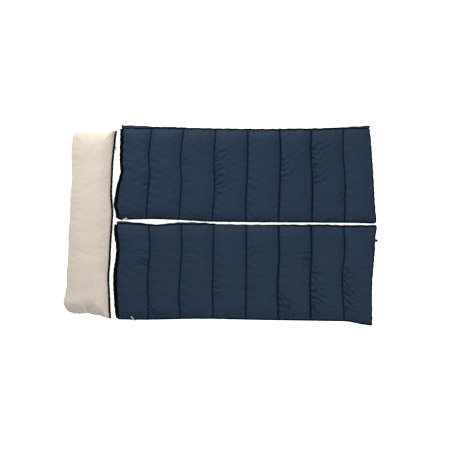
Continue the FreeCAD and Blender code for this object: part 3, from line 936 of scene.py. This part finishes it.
def pillow_shape():
    """The filled pillow. Returns the grid of its face."""
    u = spread(88, 0.45) * CHANNELS
    v = spread(30, 0.45)
    flat = PILLOW.points(u, v)
    inward = distance_inside(flat)
    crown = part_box("pillow_face")[1][2] / MM - ZIP_Z
    crease = swell(7, 190)(flat[..., 0], flat[..., 1])
    face = (crown - 9) * (0.2 * rise(inward, 12) + 0.8 * rise(inward, 105))
    sheet = np.concatenate([flat, (face + 1.3 * crease * rise(inward, 60))[..., None]], axis=-1)
    blown = inflate(sheet, rim_of(face.shape), pressure=2.5, slack=0.001, cap=6)
    fine = refine(refine(blown))
    inward = distance_inside(fine[..., :2])
    folds = pillow_folds(fine[..., 0], fine[..., 1], inward)
    fine = fine + grid_normals(fine) * folds[..., None]
    face_z = np.minimum(np.maximum(fine[..., 2], 0), crown + 2)
    outer = fine.copy()
    outer[..., 2] = ZIP_Z + face_z
    back = fine.copy()
    depth = ZIP_Z * (0.2 * rise(inward, 10) + 0.8 * rise(inward, 90)) + folds * 0.4
    back[..., 2] = ZIP_Z - np.clip(depth, 0, ZIP_Z - FLOOR_GAP)
    on_seam = inward < 1e-6
    back[on_seam, 2] = ZIP_Z - 0.8
    outer[on_seam, 2] = ZIP_Z + 0.8
    verts, faces = shut(outer, back, 1)
    body = place("pillow_cover", verts, faces, [COVER])
    # Painted shade along the pillow's edge seam, where face and back meet, through the 'seam' mark.
    dark = 0.35 * np.exp(-inward / 1.6)
    mark(body, "seam", np.concatenate([dark.ravel(), dark.ravel()]))
    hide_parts("pillow_face", "pillow_back", "pillow_filling")
    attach(body, "pillow")
    return outer


def pillow_zip(outer):
    """The pillow's half of the zip to the bags, along its near side."""
    path = outer[2:-2, 0].copy()
    path[:, 2] = ZIP_Z
    outward = outward_of(path)
    section = np.array([(0.2, -0.4), (16, -0.4), (16, 0.4), (0.2, 0.4)])
    tape = place("pillow_tape", *sweep(path, outward, section), [TAPE], rounded=False)
    point, along, out = walk(path, outward, COIL_PITCH)
    coil = place("pillow_teeth", *beads(point, along, out, (1.8, 2.5, 2.4), (17.2, 0)), [TEETH])
    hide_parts("pillow_zip_tape")
    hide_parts("pillow_zip_coil")
    for piece, slot in ((tape, "zip_tape_black"), (coil, "zip_coil_black")):
        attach(piece, "pillow")


# Where the pillow's -Y end is pinched, as a share of that end from the zip
PILLOW_PINCH = 0.457
# Creases of the pillow's face, in millimetres: from, to, half width, depth
PILLOW_CREASES = [
    ((-1080, -180), (-900, -240), 16, 1.6), ((-1060, 250), (-930, 330), 18, 1.5),
    ((-1010, -600), (-960, -420), 15, 2.6), ((-930, -560), (-900, -440), 14, 1.8),
    ((-990, 520), (-900, 620), 18, 1.6), ((-1100, 40), (-1000, 10), 15, 1.3),
]
pillow_zip(pillow_shape())


# ---------------------------------------------------------------- finishes of the CAD parts that show

FINISHES = {
    "right_hanging_loop": WEBBING,
    "left_zip_stops": DARK_METAL, "right_zip_stops": DARK_METAL, "pillow_zip_stops": DARK_METAL,
    "left_zip_slider": DARK_METAL, "right_zip_slider": DARK_METAL, "pillow_zip_slider": DARK_METAL,
    "left_zip_puller": GREY_PULL, "right_zip_puller": GREY_PULL, "pillow_zip_puller": BLACK_PULL,
}
for name, material in FINISHES.items():
    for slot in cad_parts[name].material_slots:
        slot.material = material


# ---------------------------------------------------------------- floor, light and camera

def floor():
    """A white surface lit from below, so that it is evenly bright."""
    material, tree, shader, at = finish_material("floor_light_table", {
        "Roughness": 0.9, "Specular IOR Level": 0.1, "Emission Color": (1, 1, 1, 1), "Emission Strength": 0.8,
    })
    tone = ranged(tree, noise(tree, at, 3, 2), 0.93, 0.95)
    grey = node(tree, "ShaderNodeCombineColor", {"Red": tone, "Green": tone, "Blue": tone})
    tree.links.new(grey.outputs["Color"], shader.inputs["Base Color"])
    ground = make_object("floor", [(-20, -20, 0), (20, -20, 0), (20, 20, 0), (-20, 20, 0)], [(0, 1, 2, 3)])
    ground.data.materials.append(material)


def area_light(name, at, towards, size, power):
    data = bpy.data.lights.new(name, "AREA")
    data.shape = "DISK"
    data.size = size
    data.energy = power
    lamp = bpy.data.objects.new(name, data)
    bpy.context.scene.collection.objects.link(lamp)
    lamp.location = at
    aim = Vector(towards) - lamp.location
    lamp.rotation_euler = aim.to_track_quat("-Z", "Y").to_euler()


floor()
area_light("key_soft_box", (-1.7, 3.7, 2.4), (0.1, 0, 0), 1.7, 275)
area_light("top_soft_box", (2.3, -1.4, 5.0), (0.3, 0, 0), 3.5, 245)
world = bpy.data.worlds.new("studio")
bpy.context.scene.world = world
world.use_nodes = True
world.node_tree.nodes["Background"].inputs["Color"].default_value = (1, 1, 1, 1)
world.node_tree.nodes["Background"].inputs["Strength"].default_value = 0.4

CAMERA_HEIGHT = 9.325
lens = bpy.data.cameras.new("camera")
lens.lens = 100
lens.sensor_width = 36
camera = bpy.data.objects.new("camera", lens)
bpy.context.scene.collection.objects.link(camera)
camera.location = (0.031, 0.0105, ZIP_Z * MM + CAMERA_HEIGHT)
bpy.context.scene.camera = camera
bpy.context.scene.view_settings.view_transform = "Standard"
